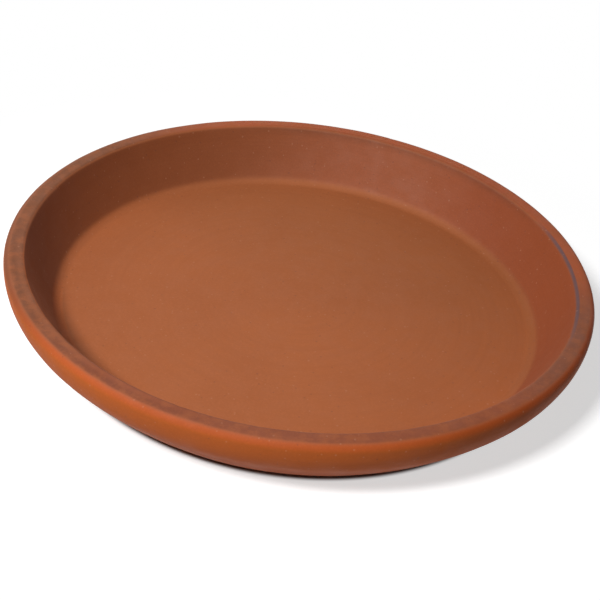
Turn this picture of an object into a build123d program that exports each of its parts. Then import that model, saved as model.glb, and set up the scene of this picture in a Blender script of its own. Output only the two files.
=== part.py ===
from build123d import *
import math
import os

# A round plant saucer of unglazed fired clay, one piece.
# It stands on its flat base, with the origin at the middle of that base and +Z up.

# Driving dimensions, in millimetres.
# The outside, from the lip down to the base
rim_diameter = 310.0  # across the widest ring, just under the lip
height = 39.0  # from the base to the top of the lip
lip_outer_round = 4.5  # rounding from the top of the lip to the widest ring
shoulder_round = 23.0  # rounding from the widest ring into the sloping wall
wall_crown = 140.0  # radius of the slightly convex wall, seen in section
foot_round = 5.0  # rounding from the wall into the flat base
wall_lean = 26.5  # from the widest ring in to the edge of the flat base, measured level

# The inside, from the lip down to the floor
lip_width = 10.5  # from the widest ring to the inner edge of the lip, measured level
lip_inner_round = 3.0  # rounding from the top of the lip into the inner wall
floor_thickness = 8.4  # clay under the floor
inner_wall_lean = 16.5  # from the inner edge of the lip in to the floor, measured level
inner_wall_hollow = 160.0  # radius of the slightly hollow inner wall, seen in section
corner_round = 8.0  # hollow rounding between the inner wall and the floor

# Places in the section, as (radius, height)
rim_radius = rim_diameter / 2
foot_radius = rim_radius - wall_lean
widest_height = height - lip_outer_round
shoulder_centre = Vector(rim_radius - shoulder_round, widest_height)
foot_centre = Vector(foot_radius, foot_round)
lip_centre = Vector(rim_radius - lip_outer_round, widest_height)
inner_lip_corner = Vector(rim_radius - lip_width, height)
inner_floor_corner = Vector(inner_lip_corner.X - inner_wall_lean, floor_thickness)


def crown_centre():
    """Centre of the wall's arc, which runs smoothly into the shoulder and the foot."""
    to_shoulder = wall_crown - shoulder_round
    to_foot = wall_crown - foot_round
    apart = (foot_centre - shoulder_centre).length
    along = (apart**2 + to_shoulder**2 - to_foot**2) / (2 * apart)
    aside = math.sqrt(to_shoulder**2 - along**2)
    down = (foot_centre - shoulder_centre).normalized()
    inward = Vector(down.Y, -down.X)
    return shoulder_centre + down * along + inward * aside


def turn_below_level(centre, point):
    """Angle below level, in radians, of the line from a centre out to a point."""
    out = point - centre
    return math.atan2(-out.Y, out.X)


def rounding(centre, radius, start_turn, end_turn):
    """Arc about a centre, between two angles below level."""
    turns = (start_turn, (start_turn + end_turn) / 2, end_turn)
    return ThreePointArc(*[centre + Vector(radius * math.cos(t), -radius * math.sin(t)) for t in turns])


def outside():
    """The outer side of the section: lip, shoulder, wall and foot."""
    crown = crown_centre()
    shoulder_turn = turn_below_level(crown, shoulder_centre)
    foot_turn = turn_below_level(crown, foot_centre)
    level, upright = 0, math.pi / 2
    lip = rounding(lip_centre, lip_outer_round, -upright, level)
    shoulder = rounding(shoulder_centre, shoulder_round, level, shoulder_turn)
    wall = rounding(crown, wall_crown, shoulder_turn, foot_turn)
    foot = rounding(foot_centre, foot_round, foot_turn, upright)
    return [lip, shoulder, wall, foot]


def hollow_centre():
    """Centre of the inner wall's arc, which runs from the floor's corner up to the lip's."""
    middle = (inner_floor_corner + inner_lip_corner) / 2
    half = (inner_lip_corner - inner_floor_corner) / 2
    inward = Vector(-half.Y, half.X).normalized()
    return middle + inward * math.sqrt(inner_wall_hollow**2 - half.length**2)


def beside(centre, away, level):
    """The point at a height that lies this far out from a centre."""
    return Vector(centre.X + math.sqrt(away**2 - (level - centre.Y) ** 2), level)


def inside():
    """The floor, the hollow corner, the inner wall and the top of the lip."""
    hollow = hollow_centre()
    corner_centre = beside(hollow, inner_wall_hollow - corner_round, floor_thickness + corner_round)
    edge_centre = beside(hollow, inner_wall_hollow + lip_inner_round, height - lip_inner_round)
    corner_turn = turn_below_level(hollow, corner_centre)
    edge_turn = turn_below_level(hollow, edge_centre)
    upright = math.pi / 2
    floor = Line((0, floor_thickness), corner_centre - Vector(0, corner_round))
    corner = rounding(corner_centre, corner_round, upright, corner_turn)
    wall = rounding(hollow, inner_wall_hollow, corner_turn, edge_turn)
    edge = rounding(edge_centre, lip_inner_round, turn_below_level(edge_centre, hollow), -upright)
    top = Line(edge_centre + Vector(0, lip_inner_round), lip_centre + Vector(0, lip_outer_round))
    return [floor, corner, wall, edge, top]


def saucer():
    """The whole dish: half of its section turned about the upright axis."""
    base = Line((foot_radius, 0), (0, 0))
    axis = Line((0, 0), (0, floor_thickness))
    section = make_face([*outside(), base, axis, *inside()])
    return revolve(Plane.XZ * section, axis=Axis.Z)


os.makedirs("parts", exist_ok=True)
export_step(saucer(), "parts/saucer.step")
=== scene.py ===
import math

import bpy
import numpy as np
from mathutils import Matrix, Vector, noise


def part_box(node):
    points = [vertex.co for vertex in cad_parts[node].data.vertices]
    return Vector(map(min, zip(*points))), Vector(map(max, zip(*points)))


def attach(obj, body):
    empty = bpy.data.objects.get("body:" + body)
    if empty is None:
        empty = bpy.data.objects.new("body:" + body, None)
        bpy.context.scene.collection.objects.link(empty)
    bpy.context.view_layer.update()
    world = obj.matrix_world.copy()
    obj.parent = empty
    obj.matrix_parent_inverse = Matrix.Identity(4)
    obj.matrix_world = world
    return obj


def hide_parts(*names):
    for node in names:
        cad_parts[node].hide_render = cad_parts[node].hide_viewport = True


# The looks of a round plant saucer of unglazed fired clay. All lengths are in metres.

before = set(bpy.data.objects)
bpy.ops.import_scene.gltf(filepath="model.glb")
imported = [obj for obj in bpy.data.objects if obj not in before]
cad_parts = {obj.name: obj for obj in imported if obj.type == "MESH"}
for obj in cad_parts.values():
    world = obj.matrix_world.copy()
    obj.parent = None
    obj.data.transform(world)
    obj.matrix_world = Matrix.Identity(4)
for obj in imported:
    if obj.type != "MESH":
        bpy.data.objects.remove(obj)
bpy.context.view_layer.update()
LOW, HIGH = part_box("saucer")

# The saucer's section. The two overall sizes come from the frame, and the others are as in the CAD source.
RIM_RADIUS = (HIGH.x - LOW.x) / 2
HEIGHT = HIGH.z
LIP_OUTER_ROUND = 0.0045
SHOULDER_ROUND = 0.023
WALL_CROWN = 0.140
FOOT_ROUND = 0.005
WALL_LEAN = 0.0265
FOOT_RADIUS = RIM_RADIUS - WALL_LEAN
LIP_WIDTH = 0.0105
LIP_INNER_ROUND = 0.003
FLOOR_THICKNESS = 0.0084
INNER_WALL_LEAN = 0.0165
INNER_WALL_HOLLOW = 0.160
CORNER_ROUND = 0.008

# How finely the mesh is divided
STEPS_ROUND = 720
FLOOR_STEPS = 26
CORNER_STEPS = 10
INNER_WALL_STEPS = 14
LIP_STEPS = 7
LIP_TOP_STEPS = 3
SHOULDER_STEPS = 11
WALL_STEPS = 15
FOOT_STEPS = 6
BASE_STEPS = 16
CENTRE_RADIUS = 0.002

# The camera, measured from the middle of the saucer's base
CAMERA_DISTANCE = 0.7077
CAMERA_ELEVATION = math.radians(34.86)
CAMERA_AIM = Vector((0.0013, 0.0126, 0))
CAMERA_ROLL = math.radians(7.23)
SENSOR_WIDTH = 36
LENS = 78

# The lamps: degrees round from +X and up from level, metres, and watts
KEY_LAMP = {"azimuth": -128, "elevation": 48, "distance": 1.5, "size": 0.27, "watts": 19.3}
SIDE_LAMP = {"azimuth": 162, "elevation": 44, "distance": 1.6, "size": 1.2, "watts": 3.6}
FILL_LAMP = {"azimuth": 90, "elevation": 30, "distance": 1.6, "size": 1.2, "watts": 1.3}

# The studio floor. It is lifted towards white, and fades to white, over these distances from its middle.
FLOOR_SIZE = 8
FLOOR_COLOUR = (0.65, 0.65, 0.65, 1)
FLOOR_LIFT = 0.62
FLOOR_LIFT_FROM = (0.1315, 0.1345)
FLOOR_FADE = (0.165, 0.28)
WHITE = (1, 1, 1, 1)

# Unevenness of the pressed clay: depth, size across, and seed of the noise
LUMP_DEPTH, LUMP_SIZE, LUMP_SEED = 0.00012, 0.035, 3
DIMPLE_DEPTH, DIMPLE_SIZE, DIMPLE_SEED = 0.00004, 0.009, 11

# Turning rings: depth, distance apart, length in radians, and seed
RING_DEPTH, RING_SPACING, RING_REACH, RING_SEED = 0.00004, 0.0045, 0.8, 5

# How far the lip dips and the ring draws in, the size of such a wave on a circle of radius 1, and the seed
WARP_DEPTH, WARP_SIZE, WARP_SEED = 0.0004, 0.9, 21
OUT_OF_ROUND, OUT_OF_ROUND_SIZE, OUT_OF_ROUND_SEED = 0.0004, 1.1, 33

# Small pits and dents: the depth is a share of the radius
PIT_SEED = 7
PIT_COUNT = 260
PIT_RADIUS = (0.0012, 0.0032)
PIT_DEPTH = (0.02, 0.09)

# The zones of the clay's colour, each from where it begins to where it is full. UP, OUT and IN are the
# share of the surface's normal that points that way, and DEPTH is the distance below the top of the lip.
LIP_UP, LIP_OUT, LIP_DEPTH = (0.70, 0.93), (0.6, 0.15), (0.003, 0.001)
LINE_IN, LINE_DEPTH = (0.05, 0.2), (0.0016, 0.0008)
BRINK_IN, BRINK_DEPTH = (0.05, 0.2), (0.005, 0.0025)
OUTSIDE_OUT = (0.3, 0.8)
CREASE_IN, CREASE_NOT_STEEP = (0.08, 0.3), (0.88, 0.7)
INSIDE_IN = (0.50, 0.88)
EDGE_OUT, EDGE_UP = (0.2, 0.55), (0.1, 0.6)

# Colours of the clay, as linear red, green, blue and alpha
CLAY_FLOOR = (0.430, 0.118, 0.032, 1)
CLAY_INSIDE = (0.312, 0.067, 0.0142, 1)
# Painted light and shade on the inner wall: paler and pinker at the far side, which faces the key lamp,
# darker at the left
INSIDE_FAR_PAINTED_LIGHT = (0.335, 0.085, 0.025, 1)
INSIDE_LEFT_PAINTED_SHADE = (0.262, 0.066, 0.0145, 1)
CLAY_OUTSIDE = (0.450, 0.098, 0.013, 1)
CLAY_EDGE = (0.480, 0.092, 0.016, 1)
EDGE_DUSTY = (0.230, 0.066, 0.024, 1)
LIP_DUSTY = (0.207, 0.063, 0.021, 1)
LIP_WORN = (0.256, 0.062, 0.021, 1)
LIP_FAR = (0.450, 0.094, 0.025, 1)
LIP_GREY = (0.222, 0.065, 0.030, 1)
LIP_LINE = (0.130, 0.058, 0.070, 1)
GRIT_PALE = (0.560, 0.300, 0.180, 1)
GRIT_DARK = (0.120, 0.040, 0.025, 1)

# Tints that the colours are multiplied by. All but the brown and the pale, which vary at random, are
# painted light or shade.
# Painted shade: the floor darker towards the far right, away from the key lamp
FLOOR_FAR_PAINTED_SHADE = (0.88, 0.91, 0.88, 1)
# Painted light and shade in the crease: a painted highlight at the far side, painted shade at the right,
# painted light at the near left
CREASE_FAR_PAINTED_HIGHLIGHT = (1.08, 1.11, 1.22, 1)
CREASE_RIGHT_PAINTED_SHADE = (0.89, 0.88, 0.78, 1)
CREASE_LEFT_PAINTED_LIGHT = (1.50, 1.45, 1.40, 1)
# Painted shade: the outer wall darker and warmer towards its foot, by the floor
FOOT_PAINTED_SHADE = (0.70, 0.56, 0.38, 1)
# Painted shade: the outer wall and its edge darker and warmer on the near right, away from the key lamp
AWAY_SIDE_PAINTED_SHADE = (0.76, 0.72, 0.52, 1)
# Painted light and shade across the lip's top at the front left: lighter on its inner part, darker on its
# outer part
LIP_INNER_PAINTED_LIGHT = (1.15, 1.12, 1.10, 1)
LIP_OUTER_PAINTED_SHADE = (0.84, 0.78, 0.68, 1)
# Painted shade on the brink, the top of the lip's inner rounding, at the far side where the light falls on
# it
BRINK_PAINTED_SHADE = (0.78, 0.78, 0.72, 1)
# Painted shade: darker and warmer towards the right, the side away from the key lamp
RIGHT_SIDE_PAINTED_SHADE = (0.86, 0.81, 0.67, 1)
SHADE_BROWN = (0.90, 0.89, 0.88, 1)
SHADE_PALE = (1.12, 1.16, 1.22, 1)

# Tones on one side of the ring, most of them painted light or shade: the level direction of that side, and
# how near to it, as the cosine of the angle, the tone begins and is full
# Sides of the painted light and the painted shade on the inner wall
INSIDE_FAR_SIDE = ((0.09, 0.996, 0), 0.70, 1.0)
INSIDE_LEFT_SIDE = ((-0.94, 0.342, 0), 0.10, 0.75)
# Sides of the painted highlight, painted shade and painted light in the crease
CREASE_FAR_SIDE = ((0.26, 0.966, 0), 0.75, 1.0)
CREASE_RIGHT_SIDE = ((0.998, 0.05, 0), 0.72, 0.97)
CREASE_LEFT_SIDE = ((-0.914, -0.407, 0), 0.93, 0.985)
# Side of the painted shade on the outer wall, away from the key lamp
SIDE_AWAY_FROM_KEY = ((0.927, -0.375, 0), 0.60, 1.0)
LIP_GREY_SIDE = ((0.927, -0.375, 0), 0.88, 1.0)
# Side of the painted light and shade on the lip's top
LIP_PAINTED_SIDE = ((-0.766, -0.643, 0), 0.75, 0.97)
LIP_LINE_SIDE = ((0.998, 0.05, 0), 0.90, 0.98)
# Side of the painted shade on the brink
BRINK_SIDE = ((0.39, 0.921, 0), 0.70, 0.92)

# Tones that grow across the saucer: the direction, and how far along it, in rim radii, the tone begins and
# is full. The floor's darkening and the darkening towards the right are painted shade.
# Painted shade: the floor darker towards the far right, away from the key lamp
FLOOR_DARKENS = ((0.5, 0.866, 0), -0.2, 0.65)
EDGE_GETS_DUSTY = ((-1, 1, 0), -0.1, 0.7)
LIP_GETS_DUSTY = ((-1, 1, 0), -0.5, 0.5)
LIP_GETS_BRIGHT = ((1, 1, 0), -0.3, 0.7)
# Painted shade: darker towards the right, the side away from the key lamp
PAINTED_SHADE_TO_RIGHT = ((1, 0, 0), -0.1, 0.9)

# Other fades: from a low to a high value, and what they give at each, which is 0 and 1 if not said
FOOT_FADE = (0.006, 0.030, 1.0, 0.0)
LIP_CREST = (RIM_RADIUS - 0.0080, RIM_RADIUS - 0.0055)
DUST_FADE = (0.30, 0.62, 0.6, 1.0)
BROAD_FADE = (0.30, 0.70)
MOTTLE_FADE = (0.35, 0.70, 0.45, 0.0)
GRAIN_FADE = (0.40, 0.75, 0.0, 0.5)
STREAK_FADE = (0.40, 0.75, 0.0, 0.5)
ROUGHNESS_FADE = (0.30, 0.70, 0.66, 0.76)
GLOSS_FADE = (0.0, 1.0, 0.5, 0.25)

# The clay's patterns, with scales in repeats to the metre. A streak's place is scaled before its noise.
BROAD = {"scale": 14, "detail": 2.0}
MOTTLE = {"scale": 95, "detail": 5.0, "roughness": 0.6}
GRAIN = {"scale": 900, "detail": 4.0, "roughness": 0.65}
DUST = {"scale": 160, "detail": 4.0, "roughness": 0.6}
STREAK = {"scale": 1.0, "detail": 3.0}
STREAK_SCALE = 420
STREAK_BEND = 1.2

# Grit lies in cells: cells to the metre, the share of them that holds a grain, a shift that sets the two
# kinds apart, a grain's largest radius and its soft rim in cells, and how strongly each kind shows
GRIT_SCALE = 650
PALE_GRIT = {"share": 0.06, "shift": 0.0}
DARK_GRIT = {"share": 0.05, "shift": 7.3}
GRIT_RADIUS = 0.3
GRIT_RIM = 0.15
PALE_GRIT_STRENGTH = 0.2
DARK_GRIT_STRENGTH = 0.3

# Relief of the patterns, as shares, and of the whole
GRAIN_RELIEF = 0.6
STREAK_RELIEF = 0.5
GRIT_RELIEF = 0.5
BUMP_STRENGTH = 0.35
BUMP_DISTANCE = 0.0003


def circle_point(centre, radius, turn):
    """A point of the section, on a circle, at an angle above level."""
    return centre + radius * np.array([math.cos(turn), math.sin(turn)])


def arc(centre, radius, start, end, steps):
    """Points along an arc, without its last one."""
    return [circle_point(centre, radius, start + (end - start) * i / steps) for i in range(steps)]


def run(start, end, steps):
    """Points along a straight line, without its last one."""
    return [start + (end - start) * i / steps for i in range(steps)]


def turn_to(centre, point):
    """Angle above level of the line from a centre to a point."""
    return math.atan2(point[1] - centre[1], point[0] - centre[0])


def beside(centre, away, height):
    """The point at a height that lies this far out from a centre."""
    return np.array([centre[0] + math.sqrt(away**2 - (height - centre[1]) ** 2), height])


def hollow_centre(floor_corner, lip_corner):
    """Centre of the inner wall's arc, which runs from the floor's corner up to the lip's."""
    half = (lip_corner - floor_corner) / 2
    inward = np.array([-half[1], half[0]]) / np.linalg.norm(half)
    return floor_corner + half + inward * math.sqrt(INNER_WALL_HOLLOW**2 - half @ half)


def crown_centre(shoulder, foot):
    """Centre of the wall's arc, which runs smoothly into the shoulder and the foot."""
    to_shoulder = WALL_CROWN - SHOULDER_ROUND
    to_foot = WALL_CROWN - FOOT_ROUND
    apart = np.linalg.norm(foot - shoulder)
    along = (apart**2 + to_shoulder**2 - to_foot**2) / (2 * apart)
    aside = math.sqrt(to_shoulder**2 - along**2)
    down = (foot - shoulder) / apart
    inward = np.array([down[1], -down[0]])
    return shoulder + down * along + inward * aside


def inner_section():
    """The section from the middle of the floor out to the top of the lip."""
    down, up = -math.pi / 2, math.pi / 2
    lip_corner = np.array([RIM_RADIUS - LIP_WIDTH, HEIGHT])
    floor_corner = np.array([lip_corner[0] - INNER_WALL_LEAN, FLOOR_THICKNESS])
    hollow = hollow_centre(floor_corner, lip_corner)
    corner = beside(hollow, INNER_WALL_HOLLOW - CORNER_ROUND, FLOOR_THICKNESS + CORNER_ROUND)
    edge = beside(hollow, INNER_WALL_HOLLOW + LIP_INNER_ROUND, HEIGHT - LIP_INNER_ROUND)
    corner_turn, edge_turn = turn_to(hollow, corner), turn_to(hollow, edge)
    middle = np.array([CENTRE_RADIUS, FLOOR_THICKNESS])
    lip_top = np.array([RIM_RADIUS - LIP_OUTER_ROUND, HEIGHT])

    points = run(middle, circle_point(corner, CORNER_ROUND, down), FLOOR_STEPS)
    points += arc(corner, CORNER_ROUND, down, corner_turn, CORNER_STEPS)
    points += arc(hollow, INNER_WALL_HOLLOW, corner_turn, edge_turn, INNER_WALL_STEPS)
    points += arc(edge, LIP_INNER_ROUND, turn_to(edge, hollow), up, LIP_STEPS)
    points += run(circle_point(edge, LIP_INNER_ROUND, up), lip_top, LIP_TOP_STEPS)
    return points


def outer_section():
    """The section from the top of the lip down the outside to the middle of the base."""
    down, up = -math.pi / 2, math.pi / 2
    widest_height = HEIGHT - LIP_OUTER_ROUND
    lip = np.array([RIM_RADIUS - LIP_OUTER_ROUND, widest_height])
    shoulder = np.array([RIM_RADIUS - SHOULDER_ROUND, widest_height])
    foot = np.array([FOOT_RADIUS, FOOT_ROUND])
    crown = crown_centre(shoulder, foot)
    shoulder_turn, foot_turn = turn_to(crown, shoulder), turn_to(crown, foot)
    middle = np.array([CENTRE_RADIUS, 0])

    points = arc(lip, LIP_OUTER_ROUND, up, 0, LIP_STEPS)
    points += arc(shoulder, SHOULDER_ROUND, 0, shoulder_turn, SHOULDER_STEPS)
    points += arc(crown, WALL_CROWN, shoulder_turn, foot_turn, WALL_STEPS)
    points += arc(foot, FOOT_ROUND, foot_turn, down, FOOT_STEPS)
    points += run(np.array([FOOT_RADIUS, 0]), middle, BASE_STEPS)
    points.append(middle)
    return points


def turned_mesh(name, outline, steps):
    """A closed mesh: the outline turned about the upright axis, with a fan at each end."""
    turns = np.linspace(0, 2 * math.pi, steps, endpoint=False)
    radius, height = outline[:, 0], outline[:, 1]
    rings = len(outline)
    points = np.empty((rings, steps, 3))
    points[:, :, 0] = radius[:, None] * np.cos(turns)
    points[:, :, 1] = radius[:, None] * np.sin(turns)
    points[:, :, 2] = height[:, None]
    first, last = rings * steps, rings * steps + 1
    flat = np.vstack([points.reshape(-1, 3), [0, 0, height[0]], [0, 0, height[-1]]])
    faces = []
    for i in range(rings - 1):
        here, there = i * steps, (i + 1) * steps
        for j in range(steps):
            k = (j + 1) % steps
            faces.append((here + j, there + j, there + k, here + k))
    end = (rings - 1) * steps
    for j in range(steps):
        k = (j + 1) % steps
        faces.append((first, j, k))
        faces.append((last, end + k, end + j))
    mesh = bpy.data.meshes.new(name)
    mesh.from_pydata(flat.tolist(), [], faces)
    mesh.polygons.foreach_set("use_smooth", [True] * len(faces))
    mesh.update()
    return mesh


def smooth_step(value, start, full):
    """0 up to start, 1 from full on, and an even curve between them. Start may be the larger of the two."""
    share = np.clip((value - start) / (full - start), 0, 1)
    return share * share * (3 - 2 * share)


def noise_at(points, size, seed):
    """Smooth noise from -1 to 1 at each point, with lumps of about this size."""
    shift = Vector((seed, 2 * seed, -seed))
    return np.array([noise.noise(Vector(p) / size + shift) for p in points])


def rings_at(radius, angle):
    """Noise that runs round the saucer in long lines."""
    places = [radius / RING_SPACING, np.cos(angle) / RING_REACH, np.sin(angle) / RING_REACH]
    return noise_at(np.stack(places, axis=1), 1, RING_SEED)


def pits_at(points):
    """Depth of the small pits and dents that lie scattered over the clay."""
    random = np.random.default_rng(PIT_SEED)
    depth = np.zeros(len(points))
    for _ in range(PIT_COUNT):
        at = points[random.integers(len(points))]
        wide = random.uniform(*PIT_RADIUS)
        deep = random.uniform(*PIT_DEPTH) * wide
        near = np.abs(points[:, 0] - at[0]) < wide
        near[near] = np.linalg.norm(points[near] - at, axis=1) < wide
        away = np.linalg.norm(points[near] - at, axis=1) / wide
        depth[near] = np.maximum(depth[near], deep * (1 - away**2) ** 2)
    return depth


def zones_at(up, outwards, depth):
    """How far each point belongs to each zone of colour, by where it faces and its depth below the lip."""
    inwards = -outwards
    lip = smooth_step(up, *LIP_UP) * smooth_step(depth, *LIP_DEPTH) * smooth_step(outwards, *LIP_OUT)
    return {
        "lip": lip,
        "line": smooth_step(inwards, *LINE_IN) * smooth_step(depth, *LINE_DEPTH),
        "brink": smooth_step(inwards, *BRINK_IN) * smooth_step(depth, *BRINK_DEPTH),
        "outside": smooth_step(outwards, *OUTSIDE_OUT),
        "crease": smooth_step(inwards, *CREASE_IN) * smooth_step(inwards, *CREASE_NOT_STEEP),
        "inside": smooth_step(inwards, *INSIDE_IN),
        "edge": smooth_step(outwards, *EDGE_OUT) * smooth_step(up, *EDGE_UP),
    }


def read_vectors(data, name):
    """A vector of each item, such as a vertex's place, as rows of x, y and z."""
    flat = np.empty(len(data) * 3)
    data.foreach_get(name, flat)
    return flat.reshape(-1, 3)


def work_the_clay(mesh):
    """Gives the turned shape the slight unevenness of fired clay, always inwards, and notes its zones."""
    points = read_vectors(mesh.vertices, "co")
    normals = read_vectors(mesh.vertex_normals, "vector")
    radius = np.hypot(points[:, 0], points[:, 1])
    angle = np.arctan2(points[:, 1], points[:, 0])
    lift = points[:, 2] / HEIGHT
    stands = smooth_step(points[:, 2], 0, FOOT_ROUND)

    lumps = LUMP_DEPTH * (noise_at(points, LUMP_SIZE, LUMP_SEED) - 1)
    dimples = DIMPLE_DEPTH * (noise_at(points, DIMPLE_SIZE, DIMPLE_SEED) - 1)
    rings = RING_DEPTH * (rings_at(radius + points[:, 2], angle) - 1)
    moved = (lumps + dimples + rings - pits_at(points)) * stands
    points += normals * moved[:, None]

    circle = np.stack([np.cos(angle), np.sin(angle), np.zeros(len(points))], axis=1)
    dips = (1 + noise_at(circle, WARP_SIZE, WARP_SEED)) / 2
    draws_in = (1 + noise_at(circle, OUT_OF_ROUND_SIZE, OUT_OF_ROUND_SEED)) / 2
    points[:, 2] -= WARP_DEPTH * lift**2 * dips
    points[:, :2] *= (1 - OUT_OF_ROUND / RIM_RADIUS * lift * draws_in)[:, None]
    mesh.vertices.foreach_set("co", points.ravel())
    mesh.update()

    outwards = normals[:, 0] * points[:, 0] + normals[:, 1] * points[:, 1]
    outwards /= np.maximum(radius, CENTRE_RADIUS)
    for zone, share in zones_at(normals[:, 2], outwards, HEIGHT - points[:, 2]).items():
        attribute = mesh.attributes.new(zone, "FLOAT", "POINT")
        attribute.data.foreach_set("value", share.astype(np.float32))


class Nodes:
    """Short ways to add nodes to a material or world and join them."""

    def __init__(self, tree):
        self.tree = tree

    def add(self, kind, settings=None, **inputs):
        """Adds a node, sets its properties, and gives each named input a value or a link."""
        node = self.tree.nodes.new(kind)
        for name, value in (settings or {}).items():
            setattr(node, name, value)
        for name, value in inputs.items():
            self.give(node, name.replace("_", " "), value)
        return node

    def give(self, node, name, value):
        """Gives an input of a node a value or a link. The input's name may be its number after a space."""
        socket = node.inputs[int(name[1:])] if name[1:].isdigit() else node.inputs[name]
        if isinstance(value, bpy.types.NodeSocket):
            self.tree.links.new(value, socket)
        else:
            socket.default_value = value

    def maths(self, operation, a, b):
        """The result of an operation on two numbers."""
        return self.add("ShaderNodeMath", {"operation": operation}, _0=a, _1=b).outputs[0]

    def times(self, a, b):
        """The product of two numbers."""
        return self.maths("MULTIPLY", a, b)

    def vector_maths(self, operation, output, *vectors):
        """One output of an operation on one or two vectors."""
        node = self.add("ShaderNodeVectorMath", {"operation": operation})
        for i, vector in enumerate(vectors):
            self.give(node, f" {i}", vector)
        return node.outputs[output]

    def noise(self, place, scale, detail, roughness=0.5):
        """Smooth noise from 0 to 1 at a place."""
        node = self.add("ShaderNodeTexNoise", Vector=place, Scale=scale, Detail=detail, Roughness=roughness)
        return node.outputs["Fac"]

    def fade(self, value, low, high, start=0.0, end=1.0):
        """A smooth change from start to end, as a value goes from low to high."""
        node = self.add("ShaderNodeMapRange", {"interpolation_type": "SMOOTHSTEP"}, Value=value)
        for name, number in (("From Min", low), ("From Max", high), ("To Min", start), ("To Max", end)):
            self.give(node, name, number)
        return node.outputs["Result"]

    def mix(self, share, first, second, blend="MIX"):
        """A colour between two colours."""
        settings = {"data_type": "RGBA", "blend_type": blend}
        return self.add("ShaderNodeMix", settings, _0=share, _6=first, _7=second).outputs[2]

    def shade(self, share, colour, tint):
        """A colour multiplied by a tint, as far as its share goes."""
        return self.mix(share, colour, tint, "MULTIPLY")

    def towards(self, place, way, start, full, unit=1.0):
        """A smooth change from 0 to 1, as a place moves along a direction from start to full, in a unit."""
        along = self.vector_maths("DOT_PRODUCT", "Value", place, way)
        return self.fade(along, start * unit, full * unit)

    def zone(self, name):
        """How far the surface belongs to one of its zones."""
        return self.add("ShaderNodeAttribute", {"attribute_name": name}).outputs["Fac"]


def new_material(name):
    """A material with its nodes and its shader."""
    material = bpy.data.materials.new(name)
    material.use_nodes = True
    return material, Nodes(material.node_tree), material.node_tree.nodes["Principled BSDF"]


def specks(nodes, place, share, shift):
    """Sparse round grains: 1 inside one, 0 outside."""
    shifted = nodes.vector_maths("ADD", "Vector", place, (shift, shift, shift))
    cells = nodes.add("ShaderNodeTexVoronoi", Vector=shifted, Scale=GRIT_SCALE)
    chosen = nodes.add("ShaderNodeSeparateColor", Color=cells.outputs["Color"]).outputs["Red"]
    has_grain = nodes.maths("LESS_THAN", chosen, share)
    size = nodes.times(chosen, GRIT_RADIUS / share)
    beyond = nodes.maths("SUBTRACT", cells.outputs["Distance"], size)
    return nodes.times(has_grain, nodes.fade(beyond, 0.0, GRIT_RIM, 1.0, 0.0))


def inside_colour(nodes, place, heading):
    """The colour of the floor, the inner wall and the crease between them, with painted light and shade on
    some sides.
    """
    # Painted light on the far side of the inner wall and painted shade on its left side
    wall = nodes.mix(nodes.towards(heading, *INSIDE_FAR_SIDE), CLAY_INSIDE, INSIDE_FAR_PAINTED_LIGHT)
    wall = nodes.mix(nodes.towards(heading, *INSIDE_LEFT_SIDE), wall, INSIDE_LEFT_PAINTED_SHADE)
    # Painted shade on the floor, darker towards the far right, away from the key lamp
    colour = nodes.shade(nodes.towards(place, *FLOOR_DARKENS, RIM_RADIUS), CLAY_FLOOR, FLOOR_FAR_PAINTED_SHADE)
    colour = nodes.mix(nodes.zone("inside"), colour, wall)
    # Painted highlight, painted shade and painted light in the crease, each on its own side
    creases = (
        (CREASE_FAR_SIDE, CREASE_FAR_PAINTED_HIGHLIGHT),
        (CREASE_RIGHT_SIDE, CREASE_RIGHT_PAINTED_SHADE),
        (CREASE_LEFT_SIDE, CREASE_LEFT_PAINTED_LIGHT),
    )
    for side, tint in creases:
        colour = nodes.shade(nodes.times(nodes.zone("crease"), nodes.towards(heading, *side)), colour, tint)
    return colour


def add_outside(nodes, colour, place, height, heading):
    """Adds the outer wall, with painted shade at its foot and on the side away from the key lamp, and the
    edge where it turns over into the lip.
    """
    outside, edge = nodes.zone("outside"), nodes.zone("edge")
    colour = nodes.mix(outside, colour, CLAY_OUTSIDE)
    # Painted shade on the outer wall towards its foot
    colour = nodes.shade(nodes.times(outside, nodes.fade(height, *FOOT_FADE)), colour, FOOT_PAINTED_SHADE)
    edge_colour = nodes.mix(nodes.towards(place, *EDGE_GETS_DUSTY, RIM_RADIUS), CLAY_EDGE, EDGE_DUSTY)
    colour = nodes.mix(edge, colour, edge_colour)
    # Painted shade on the outer wall and its edge, on the side away from the key lamp
    turned = nodes.times(nodes.towards(heading, *SIDE_AWAY_FROM_KEY), nodes.maths("MAXIMUM", outside, edge))
    return nodes.shade(turned, colour, AWAY_SIDE_PAINTED_SHADE)


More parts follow.
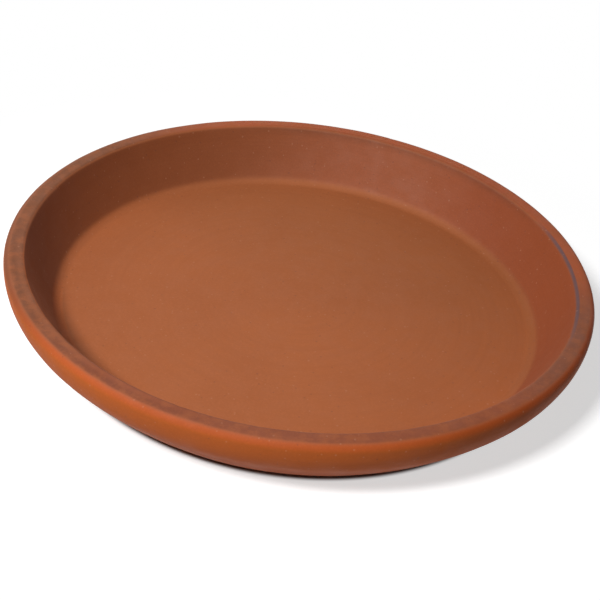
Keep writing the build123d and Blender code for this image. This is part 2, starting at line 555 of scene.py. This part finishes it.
def add_lip(nodes, colour, place, radius, heading):
    """Adds the worn and dusty top of the lip with painted light and shade across it at the front left, the
    line on its inner edge, and painted shade on the brink under that at the far side.
    """
    lip = nodes.mix(nodes.towards(place, *LIP_GETS_DUSTY, RIM_RADIUS), LIP_WORN, LIP_DUSTY)
    lip = nodes.mix(nodes.towards(place, *LIP_GETS_BRIGHT, RIM_RADIUS), lip, LIP_FAR)
    lip = nodes.mix(nodes.towards(heading, *LIP_GREY_SIDE), lip, LIP_GREY)
    # Painted light on the inner part of the lip's top and painted shade on its outer part, at the front
    # left
    lip_painted_light_and_shade = nodes.mix(nodes.fade(radius, *LIP_CREST), LIP_INNER_PAINTED_LIGHT, LIP_OUTER_PAINTED_SHADE)
    lip = nodes.mix(nodes.towards(heading, *LIP_PAINTED_SIDE), lip, nodes.shade(1.0, lip, lip_painted_light_and_shade))
    dusty = nodes.fade(nodes.noise(place, **DUST), *DUST_FADE)
    colour = nodes.mix(nodes.times(nodes.zone("lip"), dusty), colour, lip)
    line = nodes.times(nodes.zone("line"), nodes.towards(heading, *LIP_LINE_SIDE))
    colour = nodes.mix(line, colour, LIP_LINE)
    # Painted shade on the far side's brink, dimming the light that falls on it
    brink = nodes.times(nodes.zone("brink"), nodes.towards(heading, *BRINK_SIDE))
    return nodes.shade(brink, colour, BRINK_PAINTED_SHADE)


def clay_material():
    """Unglazed fired clay: mottled, grainy, with faint turning streaks, a dusty lip, and painted light and
    shade on some sides.
    """
    material, nodes, shader = new_material("fired_clay")
    place = nodes.add("ShaderNodeTexCoord").outputs["Object"]
    across = nodes.add("ShaderNodeSeparateXYZ", Vector=place)
    height = across.outputs["Z"]
    level = nodes.add("ShaderNodeCombineXYZ", X=across.outputs["X"], Y=across.outputs["Y"]).outputs[0]
    radius = nodes.vector_maths("LENGTH", "Value", level)
    heading = nodes.vector_maths("NORMALIZE", "Vector", level)
    ahead = nodes.add("ShaderNodeSeparateXYZ", Vector=heading)
    unrolled = nodes.add(
        "ShaderNodeCombineXYZ",
        X=nodes.times(nodes.maths("ADD", radius, height), STREAK_SCALE),
        Y=nodes.times(ahead.outputs["X"], STREAK_BEND),
        Z=nodes.times(ahead.outputs["Y"], STREAK_BEND),
    ).outputs[0]

    broad = nodes.noise(place, **BROAD)
    mottled = nodes.noise(place, **MOTTLE)
    grain = nodes.noise(place, **GRAIN)
    streak = nodes.noise(unrolled, **STREAK)
    pale_grit = specks(nodes, place, **PALE_GRIT)
    dark_grit = specks(nodes, place, **DARK_GRIT)

    colour = inside_colour(nodes, place, heading)
    colour = add_outside(nodes, colour, place, height, heading)
    colour = add_lip(nodes, colour, place, radius, heading)
    # Painted shade over the whole saucer, darker towards the right, away from the key lamp
    colour = nodes.shade(nodes.towards(place, *PAINTED_SHADE_TO_RIGHT, RIM_RADIUS), colour, RIGHT_SIDE_PAINTED_SHADE)
    brown = nodes.shade(1.0, colour, SHADE_BROWN)
    pale = nodes.shade(1.0, colour, SHADE_PALE)
    colour = nodes.mix(nodes.fade(broad, *BROAD_FADE), brown, colour)
    colour = nodes.mix(nodes.fade(mottled, *MOTTLE_FADE), colour, brown)
    colour = nodes.mix(nodes.fade(grain, *GRAIN_FADE), colour, pale)
    colour = nodes.mix(nodes.fade(streak, *STREAK_FADE), colour, brown)
    colour = nodes.mix(nodes.times(pale_grit, PALE_GRIT_STRENGTH), colour, GRIT_PALE)
    colour = nodes.mix(nodes.times(dark_grit, DARK_GRIT_STRENGTH), colour, GRIT_DARK)
    nodes.give(shader, "Base Color", colour)

    nodes.give(shader, "Roughness", nodes.fade(mottled, *ROUGHNESS_FADE))
    nodes.give(shader, "Specular IOR Level", nodes.fade(nodes.zone("outside"), *GLOSS_FADE))
    relief = nodes.maths("ADD", nodes.times(grain, GRAIN_RELIEF), nodes.times(streak, STREAK_RELIEF))
    relief = nodes.maths("SUBTRACT", relief, nodes.times(dark_grit, GRIT_RELIEF))
    bump = nodes.add("ShaderNodeBump", Height=relief, Strength=BUMP_STRENGTH, Distance=BUMP_DISTANCE)
    nodes.give(shader, "Normal", bump.outputs["Normal"])
    return material


def make_saucer():
    """The dressed saucer, which stands for the CAD node."""
    mesh = turned_mesh("clay_saucer", np.array(inner_section() + outer_section()), STEPS_ROUND)
    work_the_clay(mesh)
    piece = bpy.data.objects.new("clay_saucer", mesh)
    bpy.context.scene.collection.objects.link(piece)
    mesh.materials.append(clay_material())
    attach(piece, "root")
    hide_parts("saucer")


def seen_directly(nodes):
    """1 for what the eye sees straight, in a mirror or through glass, and 0 for the light on things."""
    path = nodes.add("ShaderNodeLightPath")
    mirrored = nodes.maths("MAXIMUM", path.outputs["Is Glossy Ray"], path.outputs["Is Transmission Ray"])
    return nodes.maths("MAXIMUM", path.outputs["Is Camera Ray"], mirrored)


def pale_floor_material():
    """A white studio floor that holds the saucer's shadow and fades into the white background round it."""
    material, nodes, shader = new_material("pale_floor")
    nodes.give(shader, "Base Color", FLOOR_COLOUR)
    nodes.give(shader, "Roughness", 1.0)
    nodes.give(shader, "Specular IOR Level", 0.0)
    place = nodes.add("ShaderNodeNewGeometry").outputs["Position"]
    away = nodes.vector_maths("LENGTH", "Value", place)
    seen = seen_directly(nodes)
    lift = nodes.times(seen, nodes.fade(away, *FLOOR_LIFT_FROM, 0.0, FLOOR_LIFT))
    glow = nodes.add("ShaderNodeEmission", Color=WHITE, Strength=lift)
    lifted = nodes.add("ShaderNodeAddShader", _0=shader.outputs[0], _1=glow.outputs[0])
    white = nodes.add("ShaderNodeEmission", Color=WHITE)
    fading = nodes.times(seen, nodes.fade(away, *FLOOR_FADE))
    blend = nodes.add("ShaderNodeMixShader", _0=fading, _1=lifted.outputs[0], _2=white.outputs[0])
    nodes.give(nodes.tree.nodes["Material Output"], "Surface", blend.outputs[0])
    return material


def make_floor():
    """The studio floor, level with the saucer's base."""
    half = FLOOR_SIZE / 2
    corners = [(-half, -half, 0), (half, -half, 0), (half, half, 0), (-half, half, 0)]
    mesh = bpy.data.meshes.new("floor")
    mesh.from_pydata(corners, [], [(0, 1, 2, 3)])
    mesh.materials.append(pale_floor_material())
    floor = bpy.data.objects.new("floor", mesh)
    bpy.context.scene.collection.objects.link(floor)


def place_camera():
    """A camera at the photograph's viewing angle, in front of the saucer and above it."""
    camera = bpy.data.objects.new("camera", bpy.data.cameras.new("camera"))
    bpy.context.scene.collection.objects.link(camera)
    level, up = math.cos(CAMERA_ELEVATION), math.sin(CAMERA_ELEVATION)
    eye = CAMERA_DISTANCE * Vector((0, -level, up))
    look = (CAMERA_AIM - eye).to_track_quat("-Z", "Y").to_matrix().to_4x4()
    camera.matrix_world = Matrix.Translation(eye) @ look @ Matrix.Rotation(CAMERA_ROLL, 4, "Z")
    camera.data.sensor_width = SENSOR_WIDTH
    camera.data.lens = LENS
    bpy.context.scene.camera = camera


def place_lamp(name, azimuth, elevation, distance, size, watts):
    """A square soft lamp that faces the saucer."""
    lamp = bpy.data.lights.new(name, "AREA")
    lamp.energy = watts
    lamp.size = size
    turn, up = math.radians(azimuth), math.radians(elevation)
    level = math.cos(up)
    piece = bpy.data.objects.new(name, lamp)
    piece.location = distance * Vector((math.cos(turn) * level, math.sin(turn) * level, math.sin(up)))
    piece.rotation_euler = (-piece.location).to_track_quat("-Z", "Y").to_euler()
    bpy.context.scene.collection.objects.link(piece)


def place_lights():
    """A soft lamp at the front left, weak ones at the left and behind, and a surround without light."""
    place_lamp("key", **KEY_LAMP)
    place_lamp("side", **SIDE_LAMP)
    place_lamp("fill", **FILL_LAMP)
    world = bpy.data.worlds.new("studio")
    bpy.context.scene.world = world
    world.use_nodes = True
    nodes = Nodes(world.node_tree)
    background = nodes.tree.nodes["Background"]
    nodes.give(background, "Color", WHITE)
    nodes.give(background, "Strength", seen_directly(nodes))


make_saucer()
make_floor()
place_camera()
place_lights()
bpy.context.scene.view_settings.view_transform = "Standard"
